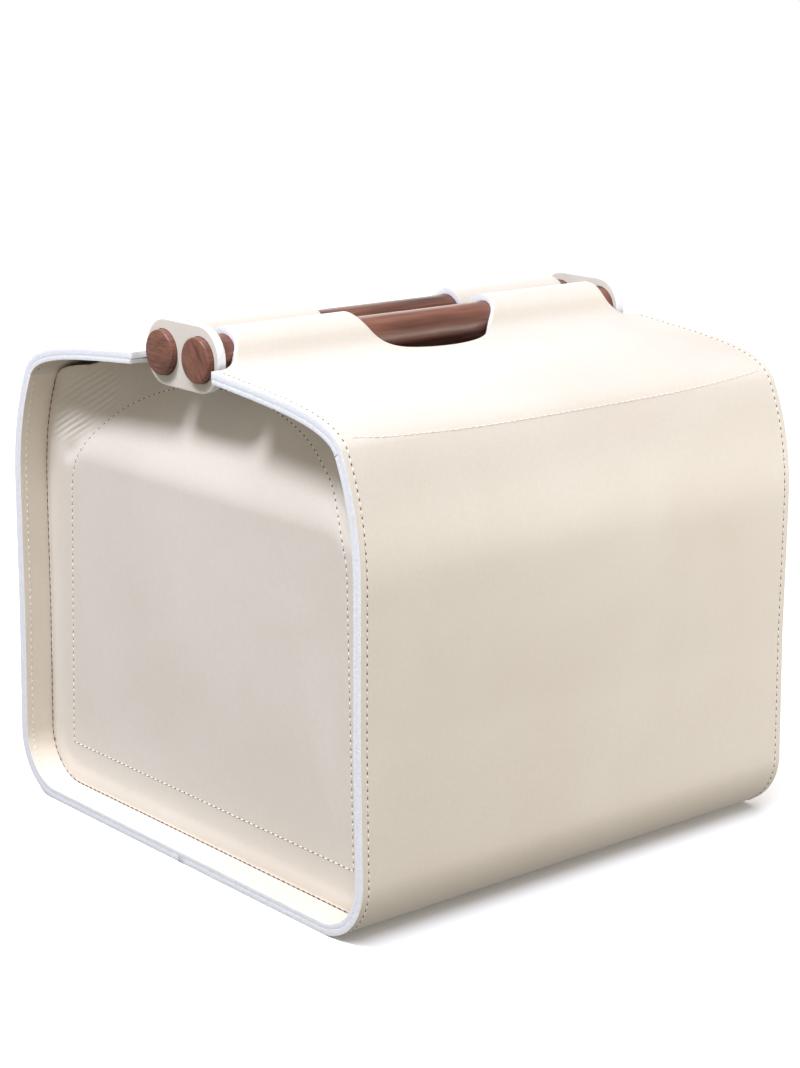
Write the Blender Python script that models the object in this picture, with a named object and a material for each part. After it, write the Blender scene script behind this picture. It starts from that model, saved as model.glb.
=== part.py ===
"""Knitting bag: a thick leather wrap on two walnut rods, with recessed end panels.

The frame: +X runs along the rods, -Y is the front wall, +Z is up. The origin is the centre
of the flat bottom. Each half of the wrap is a mirror image of the other about Y = 0.

The wrap is one band of leather. It is split here at the two shoulders, where the flaps
bend open, so that each flap can turn about its shoulder line.
"""

from math import cos, pi, radians, sin

import bmesh
import bpy
from mathutils import Vector

MM = 0.001

# Driving dimensions of the wrap.
LENGTH = 315 * MM
BASE_HALF_WIDTH = 161.4 * MM
WALL_HALF_WIDTH = 159.6 * MM
CORNER_RADIUS = 35 * MM
OUTER_LEATHER = 3.6 * MM
INNER_LEATHER = 2.3 * MM
GAP = 0.3 * MM

# The shoulder line, where a flap bends, as (half width, height), and the slope there.
SHOULDER = Vector((144.6 * MM, 256.6 * MM))
SHOULDER_ANGLE = radians(63.7)
STRAIGHT_WALL_TOP = 188 * MM
FLARE_TOP = 110 * MM

# How far each curve keeps to its end direction: up the wall, below and above the shoulder,
# and towards the flap's free edge, where the flap is almost level.
WALL_HANDLE = 30 * MM
BELOW_SHOULDER_HANDLE = 18.4 * MM
ABOVE_SHOULDER_HANDLE = 18.1 * MM
FLAP_EDGE_HANDLE = 66 * MM
FLAP_EDGE_WAY = Vector((-0.996, 0.09)).normalized()

# How many straight steps stand for each curve.
CORNER_STEPS = 10
WALL_STEPS = 8
FLAP_STEPS = 14
PANEL_CORNER_STEPS = 5
BACKING_STEPS = 24
LINK_STEPS = 8
ROUND_SIDES = 48
EGG_AROUND, EGG_UP = 40, 24

# Rods, links and the leather sleeves that hold the rods.
ROD_RADIUS = 12.3 * MM
ROD_LENGTH = 306.4 * MM
ROD_HALF_SPACING = 16.45 * MM
ROD_HEIGHT = 283.6 * MM
BORE_RADIUS = 12.6 * MM
SLEEVE_RADIUS = 16.1 * MM
SLEEVE_LENGTH = 268 * MM
LINK_INNER_FACE = 143.8 * MM
LINK_THICKNESS = 5.6 * MM
LINK_LENGTH = 65 * MM
LINK_HEIGHT = 36 * MM
LINK_CORNER_RADIUS = 0.47 * LINK_HEIGHT
CUTTER_LENGTH = 1.1 * LENGTH

# Flaps: the free edge beside the rod, and the grip opening over the rod's middle.
FLAP_EDGE = 36.5 * MM
FLAP_EDGE_HEIGHT = 281.3 * MM
GRIP_HALF_LENGTH = 51 * MM
GRIP_REACH = 36.3 * MM
GRIP_DEPTH = 38.5 * MM
GRIP_PLAN_HALF_LENGTH = 46 * MM
GRIP_PLAN_REACH = 32 * MM

# End panels and what holds them.
FLANGE_WIDTH = 21 * MM
FLANGE_TOP = 252 * MM
PANEL_THICKNESS = 3 * MM
PANEL_TOP = 261 * MM
PANEL_TOP_CORNER_RADIUS = 14 * MM
PANEL_TOP_CORNER_START = radians(40)
BACKING_THICKNESS = 2 * MM
BACKING_HALF_WIDTH = 130 * MM
BACKING_BOTTOM = 31 * MM
BACKING_SPRING = 182 * MM
BACKING_TOP = 256 * MM
BOARD_THICKNESS = 2.5 * MM
BOARD_HALF_WIDTH = 118 * MM
BOARD_MARGIN = 4 * MM

WELD_DISTANCE = 0.01 * MM
SHARP_ANGLE = radians(40)

SIDES = {"front": -1, "rear": 1}
ENDS = {"near": -1, "far": 1}

COLOURS = {
    "outer leather": ((0.78, 0.72, 0.62), 0.45),
    "lining leather": ((0.70, 0.62, 0.50), 0.60),
    "panel leather": ((0.72, 0.66, 0.56), 0.50),
    "link leather": ((0.74, 0.68, 0.58), 0.50),
    "walnut": ((0.16, 0.062, 0.038), 0.40),
    "board": ((0.50, 0.44, 0.34), 0.70),
}


def clear_scene():
    for thing in list(bpy.data.objects):
        bpy.data.objects.remove(thing, do_unlink=True)


def new_collection(name):
    collection = bpy.data.collections.new(name)
    bpy.context.scene.collection.children.link(collection)
    return collection


def material(name):
    found = bpy.data.materials.get(name)
    if found:
        return found
    colour, roughness = COLOURS[name]
    made = bpy.data.materials.new(name)
    made.use_nodes = True
    shader = made.node_tree.nodes["Principled BSDF"]
    shader.inputs["Base Color"].default_value = (*colour, 1)
    shader.inputs["Roughness"].default_value = roughness
    shader.inputs["Metallic"].default_value = 0
    return made


def arc(centre, radius, start, end, steps):
    """Points on an arc about centre, from one angle to another."""
    angles = [start + (end - start) * n / steps for n in range(steps + 1)]
    return [centre + radius * Vector((cos(a), sin(a))) for a in angles]


def bezier(a, b, c, d, steps):
    """Points on a cubic curve from a to d, with handles b and c."""
    points = []
    for n in range(steps + 1):
        t = n / steps
        s = 1 - t
        points.append(s**3 * a + 3 * s * s * t * b + 3 * s * t * t * c + t**3 * d)
    return points


def shoulder_direction():
    return Vector((-cos(SHOULDER_ANGLE), sin(SHOULDER_ANGLE)))


def half_wall():
    """The wrap's outer surface from the middle of the bottom to the rear shoulder."""
    corner = Vector((BASE_HALF_WIDTH - CORNER_RADIUS, CORNER_RADIUS))
    points = [Vector((0, 0))]
    points += arc(corner, CORNER_RADIUS, -pi / 2, 0, CORNER_STEPS)
    points.append(Vector((WALL_HALF_WIDTH, FLARE_TOP)))
    straight_end = Vector((WALL_HALF_WIDTH, STRAIGHT_WALL_TOP))
    rising = straight_end + Vector((0, WALL_HANDLE))
    arriving = SHOULDER - BELOW_SHOULDER_HANDLE * shoulder_direction()
    points += bezier(straight_end, rising, arriving, SHOULDER, WALL_STEPS)
    points.insert(-1, SHOULDER - MM * shoulder_direction())
    return points


def flap_path(end):
    """The rear flap's outer surface from just past the shoulder line to its free edge."""
    leaving = SHOULDER + ABOVE_SHOULDER_HANDLE * shoulder_direction()
    tip = Vector((FLAP_EDGE, FLAP_EDGE_HEIGHT))
    arriving = tip - FLAP_EDGE_HANDLE * FLAP_EDGE_WAY
    points = bezier(SHOULDER, leaving, arriving, tip, FLAP_STEPS)
    points[0] = SHOULDER + GAP * shoulder_direction()
    points.insert(1, SHOULDER + MM * shoulder_direction())
    if end < FLAP_EDGE:
        points.append(tip + (FLAP_EDGE - end) * FLAP_EDGE_WAY)
    return points


def mirrored(points):
    return [Vector((-p.x, p.y)) for p in points]


def whole_wall():
    """The wrap from the front shoulder, under the bottom, to the rear shoulder."""
    rear = half_wall()
    return list(reversed(mirrored(rear[1:]))) + rear


def inward(path, distance):
    """The path moved to its left, which is the inside of the bag."""
    moved = []
    for n, point in enumerate(path):
        before = path[max(n - 1, 0)]
        after = path[min(n + 1, len(path) - 1)]
        along = (after - before).normalized()
        moved.append(point + distance * Vector((-along.y, along.x)))
    return moved


def layer(path, near, far):
    """A closed outline between two depths below the path."""
    return inward(path, near) + list(reversed(inward(path, far)))


def put_in(collection, thing, name, finish):
    collection.objects.link(thing)
    thing.name = name
    thing.data.materials.clear()
    thing.data.materials.append(material(finish))
    return thing


def prism(collection, name, finish, outline, x_low, x_high):
    """A flat outline in Y and Z, filled and extruded along X."""
    curve = bpy.data.curves.new(name, "CURVE")
    curve.dimensions = "2D"
    curve.fill_mode = "BOTH"
    curve.extrude = (x_high - x_low) / 2
    spline = curve.splines.new("POLY")
    spline.points.add(len(outline) - 1)
    for target, point in zip(spline.points, outline):
        target.co = (point.x, point.y, 0, 1)
    spline.use_cyclic_u = True
    drawn = bpy.data.objects.new(name + "_outline", curve)
    bpy.context.scene.collection.objects.link(drawn)
    drawn.location = ((x_high + x_low) / 2, 0, 0)
    drawn.rotation_euler = (pi / 2, 0, pi / 2)
    bpy.context.view_layer.update()
    solid = as_mesh(drawn, name)
    return put_in(collection, solid, name, finish)


def as_mesh(drawn, name):
    """Turn a curve object into a mesh object in the same place, and weld its caps."""
    evaluated = drawn.evaluated_get(bpy.context.evaluated_depsgraph_get())
    mesh = bpy.data.meshes.new_from_object(evaluated)
    mesh.name = name
    weld = bmesh.new()
    weld.from_mesh(mesh)
    bmesh.ops.remove_doubles(weld, verts=weld.verts, dist=WELD_DISTANCE)
    bmesh.ops.recalc_face_normals(weld, faces=weld.faces)
    weld.to_mesh(mesh)
    weld.free()
    made = bpy.data.objects.new(name, mesh)
    made.matrix_world = drawn.matrix_world
    bpy.data.objects.remove(drawn, do_unlink=True)
    return made


def cylinder(collection, name, finish, radius, length, centre):
    """A round bar along X."""
    mesh = bpy.data.meshes.new(name)
    bar = bmesh.new()
    bmesh.ops.create_cone(
        bar,
        cap_ends=True,
        segments=ROUND_SIDES,
        radius1=radius,
        radius2=radius,
        depth=length,
    )
    bar.to_mesh(mesh)
    bar.free()
    mesh.shade_smooth()
    mesh.set_sharp_from_angle(angle=SHARP_ANGLE)
    made = bpy.data.objects.new(name, mesh)
    made.rotation_euler = (0, pi / 2, 0)
    made.location = centre
    return put_in(collection, made, name, finish)


def box(collection, name, finish, low, high):
    low, high = Vector(low), Vector(high)
    mesh = bpy.data.meshes.new(name)
    block = bmesh.new()
    bmesh.ops.create_cube(block, size=1)
    bmesh.ops.scale(block, vec=high - low, verts=block.verts)
    bmesh.ops.translate(block, vec=(low + high) / 2, verts=block.verts)
    block.to_mesh(mesh)
    block.free()
    return put_in(collection, bpy.data.objects.new(name, mesh), name, finish)


def egg(collection, name, finish, reach, centre):
    """An ellipsoid with the half sizes in reach."""
    mesh = bpy.data.meshes.new(name)
    ball = bmesh.new()
    bmesh.ops.create_uvsphere(ball, u_segments=EGG_AROUND, v_segments=EGG_UP, radius=1)
    bmesh.ops.scale(ball, vec=reach, verts=ball.verts)
    ball.to_mesh(mesh)
    ball.free()
    made = bpy.data.objects.new(name, mesh)
    made.location = centre
    return put_in(collection, made, name, finish)


def oval_post(collection, name, finish, half_length, reach, centre, height):
    """An upright bar with an oval plan, long along X."""
    mesh = bpy.data.meshes.new(name)
    post = bmesh.new()
    bmesh.ops.create_cone(
        post, cap_ends=True, segments=ROUND_SIDES, radius1=1, radius2=1, depth=height
    )
    bmesh.ops.scale(post, vec=(half_length, reach, 1), verts=post.verts)
    post.to_mesh(mesh)
    post.free()
    made = bpy.data.objects.new(name, mesh)
    made.location = centre
    return put_in(collection, made, name, finish)


def combine(target, tool, operation):
    """Add or cut with another object, which stays as a hidden guide."""
    tool.hide_render = True
    tool.display_type = "WIRE"
    modifier = target.modifiers.new(operation.title() + " " + tool.name, "BOOLEAN")
    modifier.operation = operation
    modifier.solver = "EXACT"
    modifier.object = tool


def make_wrap(parts):
    half = LENGTH / 2
    wall = whole_wall()
    prism(parts, "wrap_leather", "outer leather", layer(wall, 0, OUTER_LEATHER), -half, half)
    near = OUTER_LEATHER + GAP
    far = near + INNER_LEATHER
    lining_end = half - FLANGE_WIDTH - GAP
    lining = layer(wall, near, far)
    prism(parts, "wrap_lining", "lining leather", lining, -lining_end, lining_end)


def below(path, height):
    """The stretch of a path that lies below a height, ending on it."""
    kept = [p for p in path if p.y < height]
    last = kept[-1]
    next_point = path[len(kept)]
    share = (height - last.y) / (next_point.y - last.y)
    kept.append(last.lerp(next_point, share))
    return kept


def make_flanges(parts):
    """The turned-out edge strip of each end, sewn inside the wrap's edge."""
    near = OUTER_LEATHER + GAP
    rear = below(half_wall(), FLANGE_TOP)
    path = list(reversed(mirrored(rear[1:]))) + rear
    outline = layer(path, near, near + INNER_LEATHER)
    for end, sign in ENDS.items():
        ends = sorted((sign * LENGTH / 2, sign * (LENGTH / 2 - FLANGE_WIDTH)))
        prism(parts, end + "_gusset_flange", "lining leather", outline, *ends)


def panel_outline():
    """The end panel: the bag's inner section, with a free and lower top edge."""
    depth = OUTER_LEATHER + INNER_LEATHER + 2 * GAP
    rear = inward(below(half_wall(), FLANGE_TOP), depth)
    top_corner = Vector((rear[-1].x - PANEL_TOP_CORNER_RADIUS, 0))
    top_corner.y = PANEL_TOP - PANEL_TOP_CORNER_RADIUS
    start, end = PANEL_TOP_CORNER_START, pi / 2
    rear += arc(top_corner, PANEL_TOP_CORNER_RADIUS, start, end, PANEL_CORNER_STEPS)
    return rear + list(reversed(mirrored(rear[1:])))


def backing_outline():
    """The arch sewn to the inside of the end panel: square below, half an ellipse above."""
    rise = BACKING_TOP - BACKING_SPRING
    points = [Vector((-BACKING_HALF_WIDTH, BACKING_BOTTOM))]
    points.append(Vector((BACKING_HALF_WIDTH, BACKING_BOTTOM)))
    for n in range(BACKING_STEPS + 1):
        angle = pi * n / BACKING_STEPS
        across = BACKING_HALF_WIDTH * cos(angle)
        points.append(Vector((across, BACKING_SPRING + rise * sin(angle))))
    return points


def make_ends(parts):
    outline = panel_outline()
    arch = backing_outline()
    for end, sign in ENDS.items():
        inner = LENGTH / 2 - FLANGE_WIDTH
        outer = inner + PANEL_THICKNESS
        panel = sorted((sign * inner, sign * outer))
        prism(parts, end + "_end_panel", "panel leather", outline, *panel)
        behind = inner - GAP
        backing = sorted((sign * behind, sign * (behind - BACKING_THICKNESS)))
        prism(parts, end + "_panel_backing", "lining leather", arch, *backing)


def make_base_board(parts):
    """The stiff board that keeps the bottom flat, laid on the lining."""
    low = OUTER_LEATHER + INNER_LEATHER + 2 * GAP
    half_length = LENGTH / 2 - FLANGE_WIDTH - BACKING_THICKNESS - GAP - BOARD_MARGIN
    corner = Vector((half_length, BOARD_HALF_WIDTH, low + BOARD_THICKNESS))
    opposite = Vector((-half_length, -BOARD_HALF_WIDTH, low))
    box(parts, "base_board", "board", opposite, corner)


def grip_cutters(guides, side, sign):
    """What is cut away over the rod's middle, so that a hand can close round the rod.

    An egg shapes the edge that rises over the rod's outer side, an oval post cuts through
    the flap beside the rod, and a box clears the side that faces the other rod.
    """
    middle = sign * ROD_HALF_SPACING
    top = ROD_HEIGHT + SLEEVE_RADIUS
    reach = (GRIP_HALF_LENGTH, GRIP_REACH, GRIP_DEPTH)
    outside = egg(guides, side + "_grip_cut", "board", reach, (0, middle, top))
    height = 2 * SLEEVE_RADIUS
    centre = (0, middle, ROD_HEIGHT - height / 2)
    plan = (GRIP_PLAN_HALF_LENGTH, GRIP_PLAN_REACH)
    through = oval_post(guides, side + "_grip_cut_through", "board", *plan, centre, height)
    across = sorted((0, middle))
    low = (-GRIP_HALF_LENGTH, across[0], ROD_HEIGHT - MM)
    high = (GRIP_HALF_LENGTH, across[1], top + MM)
    inside = box(guides, side + "_grip_cut_inside", "board", low, high)
    return outside, through, inside


def notch(guides, side, sign, end, end_sign):
    """The corner cut out of the flap, where the rod comes out of its sleeve."""
    along = sorted((end_sign * SLEEVE_LENGTH / 2, end_sign * LENGTH))
    across = sorted((0, sign * FLAP_EDGE))
    low = (along[0], across[0], ROD_HEIGHT - 2 * SLEEVE_RADIUS)
    high = (along[1], across[1], ROD_HEIGHT + 2 * SLEEVE_RADIUS)
    return box(guides, side + "_" + end + "_notch", "board", low, high)


def make_flap(parts, guides, side, sign):
    """A flap with its rod's sleeve, and the leather turned back under it."""
    half = LENGTH / 2
    path = flap_path(ROD_HALF_SPACING + BORE_RADIUS)
    outer = layer(path, 0, OUTER_LEATHER)
    if sign < 0:
        outer = mirrored(outer)
    flap = prism(parts, side + "_flap", "outer leather", outer, -half, half)
    centre = (0, sign * ROD_HALF_SPACING, ROD_HEIGHT)
    sleeve = cylinder(guides, side + "_sleeve", "board", SLEEVE_RADIUS, LENGTH, centre)
    combine(flap, sleeve, "UNION")
    bore = cylinder(guides, side + "_bore", "board", BORE_RADIUS, CUTTER_LENGTH, centre)
    combine(flap, bore, "DIFFERENCE")
    for end, end_sign in ENDS.items():
        combine(flap, notch(guides, side, sign, end, end_sign), "DIFFERENCE")
    cutters = grip_cutters(guides, side, sign)
    for cutter in cutters:
        combine(flap, cutter, "DIFFERENCE")

    near = OUTER_LEATHER + GAP
    under = layer(flap_path(FLAP_EDGE), near, near + INNER_LEATHER)
    if sign < 0:
        under = mirrored(under)
    turned = prism(parts, side + "_flap_turn_back", "lining leather", under, -half, half)
    combine(turned, cutters[1], "DIFFERENCE")


def make_rods(parts):
    for side, sign in SIDES.items():
        centre = (0, sign * ROD_HALF_SPACING, ROD_HEIGHT)
        cylinder(parts, side + "_rod", "walnut", ROD_RADIUS, ROD_LENGTH, centre)


def link_outline():
    """A rectangle with round corners, a little blunter than half circles."""
    radius = LINK_CORNER_RADIUS
    across = LINK_LENGTH / 2 - radius
    up = LINK_HEIGHT / 2 - radius
    points = []
    for quarter, (side, rise) in enumerate(((1, 1), (-1, 1), (-1, -1), (1, -1))):
        centre = Vector((side * across, ROD_HEIGHT + rise * up))
        start = quarter * pi / 2
        points += arc(centre, radius, start, start + pi / 2, LINK_STEPS)
    return points


def make_links(parts, guides):
    """The plate at each end that holds the two rods together."""
    bores = []
    for side, sign in SIDES.items():
        centre = (0, sign * ROD_HALF_SPACING, ROD_HEIGHT)
        name = side + "_link_bore"
        bores.append(cylinder(guides, name, "board", BORE_RADIUS, CUTTER_LENGTH, centre))
    for end, sign in ENDS.items():
        faces = sorted((sign * LINK_INNER_FACE, sign * (LINK_INNER_FACE + LINK_THICKNESS)))
        link = prism(parts, end + "_link", "link leather", link_outline(), *faces)
        for bore in bores:
            combine(link, bore, "DIFFERENCE")


def main():
    clear_scene()
    parts = new_collection("knitting_bag")
    guides = new_collection("cutters")
    make_wrap(parts)
    make_flanges(parts)
    make_ends(parts)
    make_base_board(parts)
    for side, sign in SIDES.items():
        make_flap(parts, guides, side, sign)
    make_rods(parts)
    make_links(parts, guides)


main()
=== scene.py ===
# %% [markdown]
# # A knitting bag in thick ivory leather
# The bag is one wide band of leather that runs up the front, over to a wooden rod, and the
# same at the rear, with a leather panel sewn into each end. The solid model already holds
# the sizes and the moving bodies. This file dresses that model: it cuts each skin flat, as
# a leather worker does, and bends it to the bag's section.

# %% Load the solid model as a fixed frame
from math import atan2, ceil, cos, pi, radians, sin

import bmesh
import bpy
import numpy as np
from mathutils import Matrix, Vector
from mathutils.kdtree import KDTree


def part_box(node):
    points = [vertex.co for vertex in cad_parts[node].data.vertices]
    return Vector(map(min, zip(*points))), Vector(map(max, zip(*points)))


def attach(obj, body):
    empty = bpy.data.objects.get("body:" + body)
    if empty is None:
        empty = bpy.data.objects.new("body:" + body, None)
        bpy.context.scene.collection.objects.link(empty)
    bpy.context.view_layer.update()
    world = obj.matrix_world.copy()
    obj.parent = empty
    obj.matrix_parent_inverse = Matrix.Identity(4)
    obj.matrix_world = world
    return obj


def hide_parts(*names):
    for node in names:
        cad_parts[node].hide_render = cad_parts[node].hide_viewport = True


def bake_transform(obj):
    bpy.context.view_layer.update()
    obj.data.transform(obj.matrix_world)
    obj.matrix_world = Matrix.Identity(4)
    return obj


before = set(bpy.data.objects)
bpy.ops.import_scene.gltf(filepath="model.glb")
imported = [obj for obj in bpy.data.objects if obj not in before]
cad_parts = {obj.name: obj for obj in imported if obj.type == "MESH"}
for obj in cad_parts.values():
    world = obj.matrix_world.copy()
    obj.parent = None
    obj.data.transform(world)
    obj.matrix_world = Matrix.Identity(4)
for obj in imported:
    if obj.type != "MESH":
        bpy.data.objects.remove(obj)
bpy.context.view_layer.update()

# %% [markdown]
# ## Sizes
# Everything is drawn in millimetres and made metres at the last step. The sizes that the
# solid model knows are read from it, so a new length or rod height there carries through.
# Typing them in again would be quicker, but the two models could then drift apart.

# %% Sizes read from the solid model, and leather thicknesses
MM = 0.001


def box_mm(node):
    low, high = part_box(node)
    return low / MM, high / MM


BAG_END = box_mm("wrap_leather")[1].x
BASE_HALF_WIDTH = box_mm("wrap_leather")[1].y
ROD_LOW, ROD_HIGH = box_mm("rear_rod")
ROD_RADIUS = (ROD_HIGH.z - ROD_LOW.z) / 2
ROD_Y = (ROD_LOW.y + ROD_HIGH.y) / 2
ROD_Z = (ROD_LOW.z + ROD_HIGH.z) / 2
ROD_END = ROD_HIGH.x
OUTER_LEATHER = 3.6
INNER_LEATHER = 2.55
GLUE_LINE = 0.05
INNER_FACE = OUTER_LEATHER + GLUE_LINE + INNER_LEATHER
SLEEVE_RADIUS = 16.1
SLEEVE_END = 134.0
TONGUE_Y = 36.5
RIM_ROUNDING = 0.3
ENDS = {"near": -1, "far": 1}
SIDES = {"front": -1, "rear": 1}
print("rod radius", round(ROD_RADIUS, 2), "at", round(ROD_Y, 2), round(ROD_Z, 2))

# %% [markdown]
# ## The camera
# A long lens from the front left, a little above the bag, so the upright edges stay nearly
# parallel and the recessed end, the front and the top all show. A wide lens close up would
# show as much, but it would make the near corner loom.

# %% Camera
CAMERA_PLACE = Vector((-0.87745, -1.03598, 0.50688))
CAMERA_TURN = radians(-40.351)
CAMERA_TILT = radians(14.229)
CAMERA_ROLL = radians(0.339)
camera = bpy.data.objects.new("camera", bpy.data.cameras.new("camera"))
camera.data.lens = 81.405
camera.data.sensor_width = 36
camera.data.clip_start = 0.05
camera.data.clip_end = 100
aim = Matrix.Rotation(CAMERA_TURN, 4, "Z") @ Matrix.Rotation(pi / 2 - CAMERA_TILT, 4, "X")
camera.matrix_world = Matrix.Translation(CAMERA_PLACE) @ aim @ Matrix.Rotation(CAMERA_ROLL, 4, "Z")
bpy.context.scene.collection.objects.link(camera)
bpy.context.scene.camera = camera
bpy.context.scene.view_settings.view_transform = "Standard"
print("camera is", round(CAMERA_PLACE.length, 2), "m from the bag's foot")

# %% [markdown]
# ## Floor and light
# A white studio under an even sky. One very wide lamp, high up on the left, makes the top
# the brightest face and lets the flaps shade the tops of the end panels. The floor itself
# throws no light on the bag: a grey card just below it does. With a white floor's light in
# the recess, the shade under the flaps would wash out.

# %% Floor, sky and lamps
FLOOR_SIZE = 60.0
CARD_DROP = 0.004
LAMPS_AIM = Vector((0, 0, 0.15))
DAYLIGHT = (0.95, 0.99, 1.15)
WARM_WHITE = (1.0, 0.965, 0.90)


def wide_light(name, towards_lamp, spread, power):
    """Even light from a wide patch of sky, the same strength over the whole floor."""
    lamp = bpy.data.lights.new(name, "SUN")
    lamp.color = DAYLIGHT
    lamp.angle = radians(spread)
    lamp.energy = power
    made = bpy.data.objects.new(name, lamp)
    made.rotation_euler = Vector(towards_lamp).to_track_quat("Z", "Y").to_euler()
    bpy.context.scene.collection.objects.link(made)


def soft_box(name, place, size, power, colour):
    """A round lamp turned to the middle of the bag."""
    lamp = bpy.data.lights.new(name, "AREA")
    lamp.color = colour
    lamp.shape = "DISK"
    lamp.size = size
    lamp.energy = power
    made = bpy.data.objects.new(name, lamp)
    made.location = place
    made.rotation_euler = (Vector(place) - LAMPS_AIM).to_track_quat("Z", "Y").to_euler()
    bpy.context.scene.collection.objects.link(made)


def make_ground(name, tone, height):
    """A wide sheet of plain paper, kept out of the finished object."""
    ground = bmesh.new()
    bmesh.ops.create_grid(ground, x_segments=2, y_segments=2, size=FLOOR_SIZE / 2)
    bmesh.ops.translate(ground, vec=(0, 0, height), verts=ground.verts)
    mesh = bpy.data.meshes.new(name)
    ground.to_mesh(mesh)
    ground.free()
    sheet = bpy.data.objects.new(name, mesh)
    paper = bpy.data.materials.new(name + " paper")
    paper.use_nodes = True
    shader = paper.node_tree.nodes["Principled BSDF"]
    shader.inputs["Base Color"].default_value = (tone, tone, tone, 1)
    shader.inputs["Roughness"].default_value = 0.9
    shader.inputs["Specular IOR Level"].default_value = 0.1
    mesh.materials.append(paper)
    bpy.context.scene.collection.objects.link(sheet)
    sheet.visible_glossy = False
    return sheet


sky = bpy.data.worlds.new("studio")
sky.use_nodes = True
sky.node_tree.nodes["Background"].inputs["Color"].default_value = (1.0, 0.96, 0.91, 1)
sky.node_tree.nodes["Background"].inputs["Strength"].default_value = 0.5
bpy.context.scene.world = sky
floor = make_ground("floor", 0.99, 0)
floor.visible_diffuse = False
shade = make_ground("shade_card", 0.22, -CARD_DROP)
shade.visible_camera = False
shade.visible_shadow = False
wide_light("high_lamp", (-0.31, -0.30, 0.90), 38, 1.95)
soft_box("left_lamp", (-0.95, 0.2, 1.5), 0.45, 22, DAYLIGHT)
soft_box("right_lamp", (0.7, -1.0, 0.15), 0.6, 8, WARM_WHITE)
soft_box("low_lamp", (-1.0, -1.0, 0.0), 0.5, 7, WARM_WHITE)
soft_box("back_lamp", (0.9, 2.0, 1.0), 2.0, 22, WARM_WHITE)
print("floor", FLOOR_SIZE, "m wide, lamps:", len(bpy.data.lights))

# %% [markdown]
# ## The section of the bag
# Half the section is one line that starts in the middle of the bottom and follows the
# outer face: round the bottom corner, up the wall, over the shoulder and along the flap.
# There the leather turns up round the rod and comes back under its own flap. A piece is
# drawn flat as (x, distance along that line, depth below the outer face), then carried to
# its place. A negative distance means the front half. The same shape could be a sweep of
# the whole section, but then the notches and stitches would have to be placed in the round.

# %% Drawing helpers for the section
LINE_STEP = 0.5
CORNER_RADIUS = 35.0
WALL_HALF_WIDTH = 159.6
WALL_STRAIGHT_FROM, WALL_STRAIGHT_TO = 110.0, 188.0
SHOULDER = Vector((144.6, 256.6))
SHOULDER_WAY = Vector((-cos(radians(63.7)), sin(radians(63.7))))
FLAP_TIP = Vector((TONGUE_Y, 281.3))
TIP_WAY = Vector((-0.996, 0.09)).normalized()
WALL_HANDLE = 30.0
BELOW_SHOULDER_HANDLE, ABOVE_SHOULDER_HANDLE = 18.4, 18.1
TIP_HANDLE = 66.0
WALL_STEPS, FLAP_STEPS = 40, 90
STRIP_TOP = 253.0


def arc(centre, radius, start, end, steps):
    angles = [start + (end - start) * n / steps for n in range(steps + 1)]
    return [centre + radius * Vector((cos(a), sin(a))) for a in angles]


def bezier(a, b, c, d, steps):
    made = []
    for n in range(steps + 1):
        t = n / steps
        s = 1 - t
        made.append(s**3 * a + 3 * s * s * t * b + 3 * s * t * t * c + t**3 * d)
    return made


def lengths(points):
    """Distance along a line of points, for each point."""
    gaps = [(b - a).length for a, b in zip(points, points[1:])]
    return np.concatenate([[0.0], np.cumsum(gaps)])


def evenly(points, step):
    """The same line with its points a fixed step apart."""
    along = lengths(points)
    places = np.linspace(0, along[-1], ceil(along[-1] / step) + 1)
    columns = [np.interp(places, along, [p[i] for p in points]) for i in range(len(points[0]))]
    return [Vector(c) for c in zip(*columns)]


def left_of(points):
    """The unit direction to the left of travel at each point, which is the inside."""
    ways = []
    for n in range(len(points)):
        way = (points[min(n + 1, len(points) - 1)] - points[max(n - 1, 0)]).normalized()
        ways.append(Vector((-way.y, way.x)))
    return ways


def wall_line():
    corner = Vector((BASE_HALF_WIDTH - CORNER_RADIUS, CORNER_RADIUS))
    line = [Vector((0, 0))] + arc(corner, CORNER_RADIUS, -pi / 2, 0, WALL_STEPS)
    line.append(Vector((WALL_HALF_WIDTH, WALL_STRAIGHT_FROM)))
    top = Vector((WALL_HALF_WIDTH, WALL_STRAIGHT_TO))
    rising = top + Vector((0, WALL_HANDLE))
    arriving = SHOULDER - BELOW_SHOULDER_HANDLE * SHOULDER_WAY
    return line + bezier(top, rising, arriving, SHOULDER, WALL_STEPS)


def flap_line():
    leaving = SHOULDER + ABOVE_SHOULDER_HANDLE * SHOULDER_WAY
    return bezier(SHOULDER, leaving, FLAP_TIP - TIP_HANDLE * TIP_WAY, FLAP_TIP, FLAP_STEPS)


print("wall height", round(SHOULDER.y, 1), "mm, flap tip", [round(v, 1) for v in FLAP_TIP])


# %% The whole route of one half, and the same for the tongue beside the sleeve
SLEEVE_STARTS_AT_Y = 43.5
SLEEVE_JOIN, SLEEVE_LEAVE = radians(22), radians(292)
SKIVE_ANGLE = radians(250)
STRIP_TOP_GAP = 0.1
RISE_HANDLE, RETURN_HANDLE = 6.5, 10
RISE_STEPS, RING_STEPS, RETURN_STEPS = 20, 90, 24
TURN_BACK_JOINS_AT_Y = 50.0


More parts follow.
